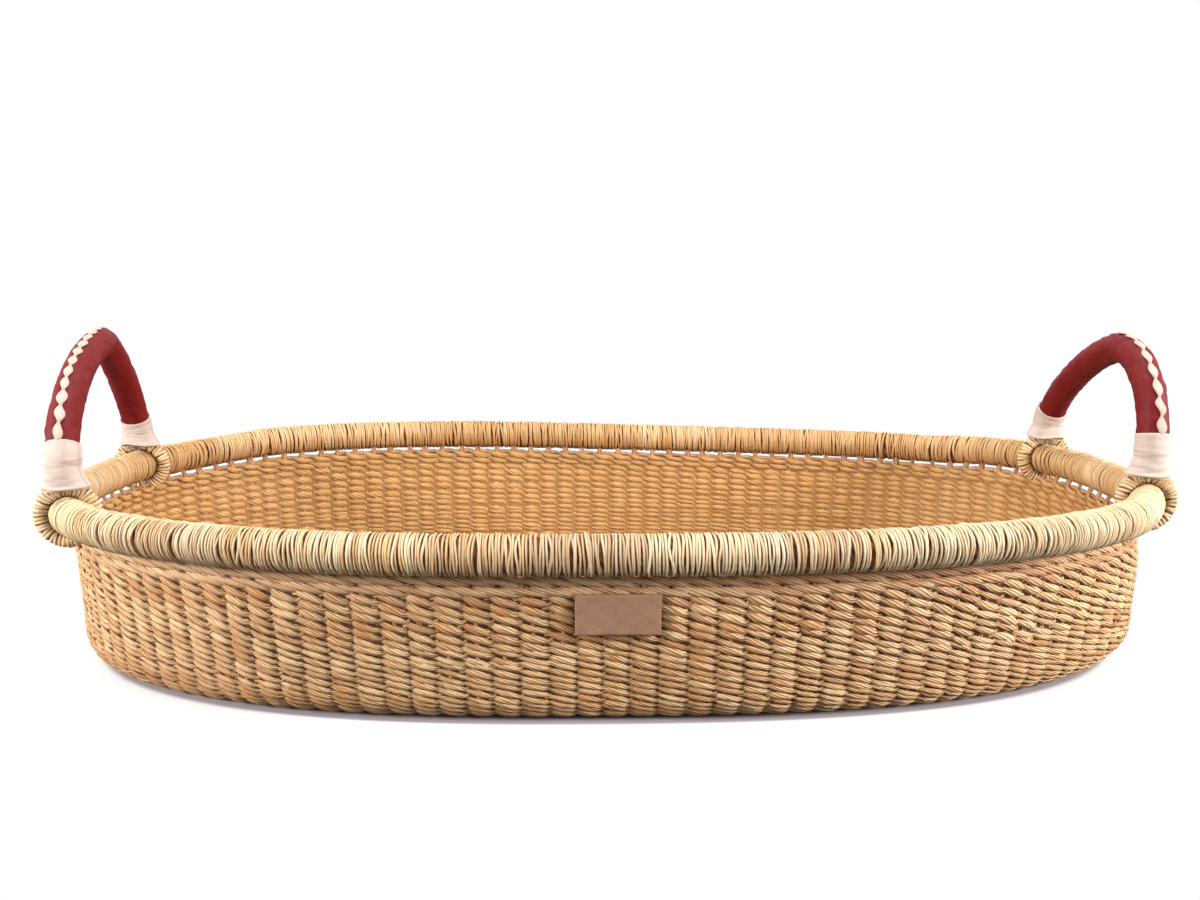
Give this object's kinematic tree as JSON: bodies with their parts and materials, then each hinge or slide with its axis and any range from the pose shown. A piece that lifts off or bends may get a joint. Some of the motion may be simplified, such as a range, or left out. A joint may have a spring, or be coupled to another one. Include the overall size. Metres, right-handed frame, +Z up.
{
  "type": "baby changing basket",
  "caption": "Shallow oval woven grass basket with a bound rim and two leather covered handles that swing on loops round the rim.",
  "frame": {"origin": "on the floor under the middle of the oval, at floor_rest", "axes": "+X along the length, +Y across and away from the side with the label, +Z up"},
  "size_m": [0.8137, 0.497, 0.2313],
  "materials": {
    "straw": "dry twined grass, satin",
    "pale_straw": "pale bound grass, satin",
    "red_leather": "dyed goat leather, wound, soft sheen",
    "cream_leather": "undyed goat leather, matt",
    "brown_leather": "bare leather patch, matt"
  },
  "bodies": {
    "basket": {"floor_weave": "straw", "side_weave": "straw", "border_row": "straw", "rim_core": "straw", "rim_binding": "pale_straw", "label": "brown_leather"},
    "left_handle": {"handle_core_left": "straw", "grip_leather_left": "red_leather", "grip_lace_left": "cream_leather", "cuff_left_front": "cream_leather", "foot_loop_left_front": "pale_straw", "cuff_left_rear": "cream_leather", "foot_loop_left_rear": "pale_straw"},
    "right_handle": {"handle_core_right": "straw", "grip_leather_right": "red_leather", "grip_lace_right": "cream_leather", "cuff_right_front": "cream_leather", "foot_loop_right_front": "pale_straw", "cuff_right_rear": "cream_leather", "foot_loop_right_rear": "pale_straw"}
  },
  "joints": [
    {"name": "left_handle_swing", "type": "hinge", "parent": "basket", "child": "left_handle", "pos_m": [-0.37461, -0.02285, 0.1117], "axis": [-0.1086, 0.9941, 0], "range_deg": [-80, 45]},
    {"name": "right_handle_swing", "type": "hinge", "parent": "basket", "child": "right_handle", "pos_m": [0.37973, 0, 0.1117], "axis": [0, -1, 0], "range_deg": [-80, 45]}
  ]
}
